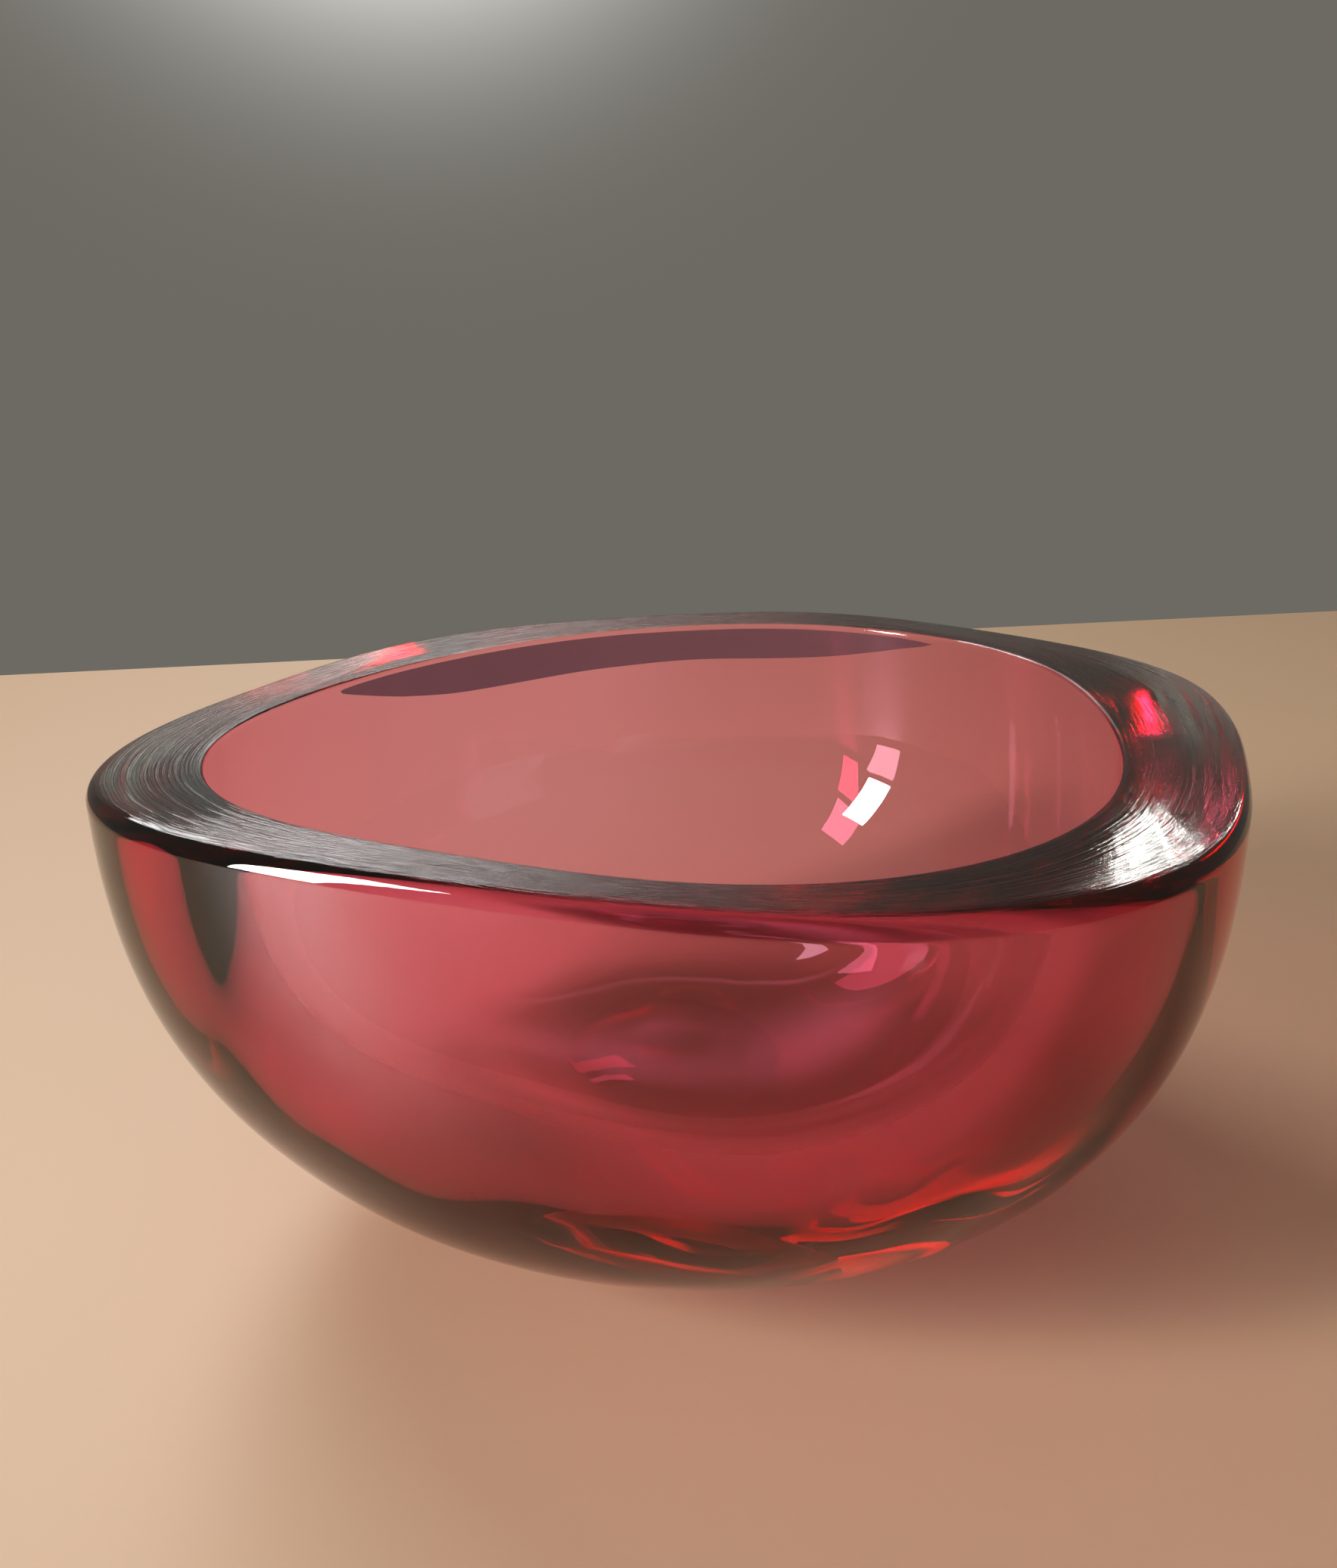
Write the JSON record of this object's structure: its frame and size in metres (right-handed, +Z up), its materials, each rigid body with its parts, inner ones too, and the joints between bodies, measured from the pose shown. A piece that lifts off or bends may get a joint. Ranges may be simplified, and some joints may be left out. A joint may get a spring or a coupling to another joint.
{
  "type": "art glass bowl",
  "caption": "Small heavy bowl of cased glass: a thin ruby layer inside a thick clear casing, soft rounded-square plan, ground flat rim and base.",
  "frame": {"origin": "centre of the ground base, on the surface that the bowl stands on", "axes": "+Z up out of the bowl's mouth, -Y towards the viewer of its front, +X to that viewer's right"},
  "size_m": [0.1302, 0.123, 0.0585],
  "materials": {
    "clear_glass": "fire-polished, with ground and polished rim and base",
    "ruby_glass": "fire-polished, transparent ruby pink"
  },
  "bodies": {
    "root": {"clear_casing": "clear_glass", "ruby_layer": "ruby_glass"}
  },
  "joints": []
}
